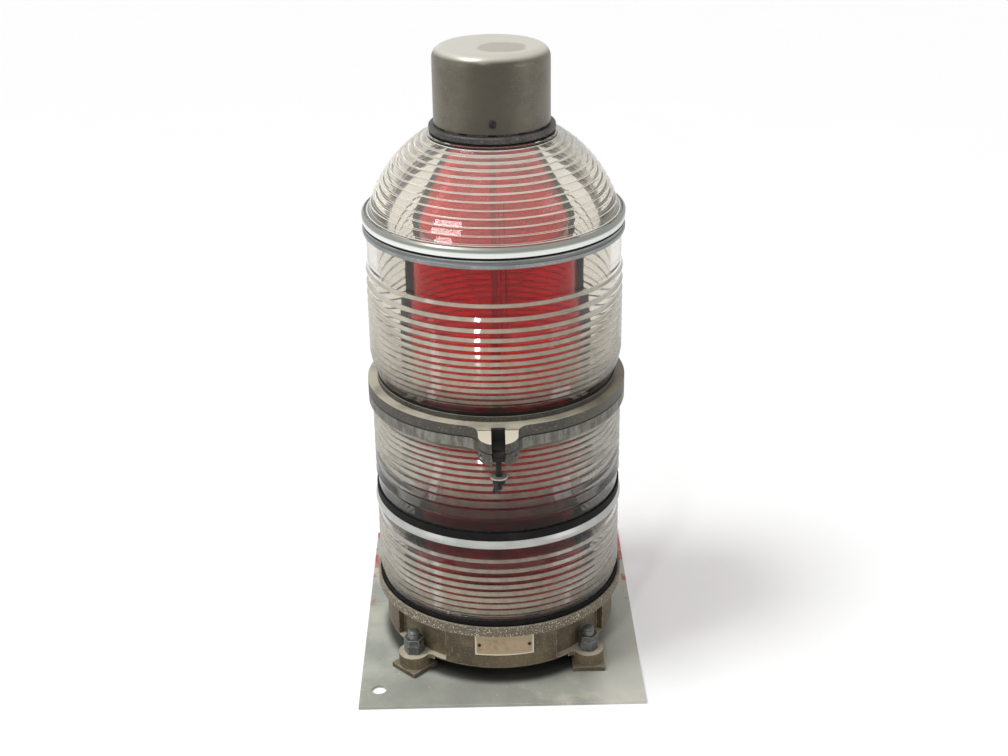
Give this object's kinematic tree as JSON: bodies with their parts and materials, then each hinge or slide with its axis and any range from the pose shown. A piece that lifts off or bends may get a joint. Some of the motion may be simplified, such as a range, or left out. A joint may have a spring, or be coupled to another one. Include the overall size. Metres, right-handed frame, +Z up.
{
  "type": "beacon light",
  "caption": "Tower beacon light: stacked ribbed clear glass lenses over red filters, a vent cap, a hinged and latched middle ring, and a lugged cast base bolted to a flat plate.",
  "frame": {"origin": "on the lenses' axis at the flat plate's underside", "axes": "+Z up along the lenses' axis, -Y towards the latch and the bare nameplate, +Y towards the hinge and the conduit hub, +X to the right as seen from the latch"},
  "size_m": [0.381, 0.4705, 0.8315],
  "materials": {
    "plate_zinc": "dull galvanised, specked",
    "pad_steel": "weathered",
    "stud_steel": "dull, worn ends",
    "nut_steel": "dark, bright worn edges",
    "base_cast": "weathered casting, streaked",
    "plate_cream": "aged cream enamel",
    "dark_screw": "oxidised",
    "block_plastic": "moulded",
    "brass": "dull",
    "lead_rubber": "braided look",
    "bracket_steel": "grey paint",
    "porcelain": "glazed",
    "bulb_glass": "clear",
    "wire": "dull",
    "red_glass": "signal red",
    "strap_steel": "dark",
    "seal_rubber": "aged",
    "lens_glass": "pressed, clear, slightly dusty",
    "bright_ring": "polished",
    "grey_ring": "satin",
    "ring_cast": "weathered casting, milled latch seat",
    "pin_steel": "dull",
    "latch_black": "black, worn",
    "washer_steel": "dull",
    "cap_dark": "dark casting, worn rim",
    "screen_metal": "dull",
    "cap_sheet": "satin, worn top"
  },
  "bodies": {
    "base": {"mount_plate": "plate_zinc", "pad_washers": "pad_steel", "mounting_studs": "stud_steel", "hex_nuts": "nut_steel", "jam_nuts": "nut_steel", "base_casting": "base_cast", "nameplate": "plate_cream", "nameplate_screws": "dark_screw", "terminal_block": "block_plastic", "terminal_screws": "brass", "lower_leads": "lead_rubber", "lampholder_plate": "bracket_steel", "lower_lampholder": "porcelain", "lower_lamp_collar": "brass", "lower_lamp_bulb": "bulb_glass", "lower_lamp_filament": "wire", "lower_filter_ring": "bracket_steel", "lower_filter": "red_glass", "lower_filter_straps": "strap_steel", "foot_seal": "seal_rubber", "lower_drum_lens": "lens_glass", "lower_join_ring": "bright_ring", "lower_join_seal": "seal_rubber", "crown_lens": "lens_glass", "crown_seal": "seal_rubber", "hinge_ring": "ring_cast", "closing_seal": "seal_rubber", "hinge_pin": "pin_steel", "hinge_cotter": "pin_steel", "latch_pin": "latch_black"},
    "latch_bolt": {"swing_bolt": "latch_black"},
    "latch_washer": {"latch_washer": "washer_steel"},
    "wing_nut": {"wing_nut": "latch_black"},
    "lid": {"lid_ring": "ring_cast", "lamp_spider": "bracket_steel", "spider_screws": "dark_screw", "upper_lampholder": "porcelain", "upper_lamp_collar": "brass", "upper_lamp_bulb": "bulb_glass", "upper_lamp_filament": "wire", "upper_filter_ring": "bracket_steel", "upper_filter": "red_glass", "filter_joint_ring": "bracket_steel", "cone_filter": "red_glass", "upper_filter_straps": "strap_steel", "drum_seal": "seal_rubber", "upper_drum_lens": "lens_glass", "upper_join_ring": "grey_ring", "dome_seal": "seal_rubber", "dome_hoop": "grey_ring", "dome_lens": "lens_glass", "cap_seal": "seal_rubber", "cap_flange": "cap_dark", "chimney": "cap_dark", "vent_screen": "screen_metal", "vent_cap": "cap_sheet", "cap_screws": "dark_screw"}
  },
  "joints": [
    {"name": "upper_open", "type": "hinge", "parent": "base", "child": "lid", "pos_m": [0, 0.188, 0.37926], "axis": [-1, 0, 0], "range_deg": [0, 100]},
    {"name": "latch_swing", "type": "hinge", "parent": "base", "child": "latch_bolt", "pos_m": [0, -0.207, 0.37126], "axis": [-1, 0, 0], "range_deg": [0, 180]},
    {"name": "washer_slide", "type": "slide", "parent": "latch_bolt", "child": "latch_washer", "axis": [0, 0, -1], "range_m": [-0.005, 0.006]},
    {"name": "nut_turn", "type": "hinge", "parent": "latch_washer", "child": "wing_nut", "pos_m": [0, -0.207, 0.342], "axis": [0, 0, -1], "range_deg": [-1270, 1525]}
  ],
  "couplings": [
    {"joint": "washer_slide", "follows": "nut_turn", "m_per_rad": 0.00022458}
  ]
}
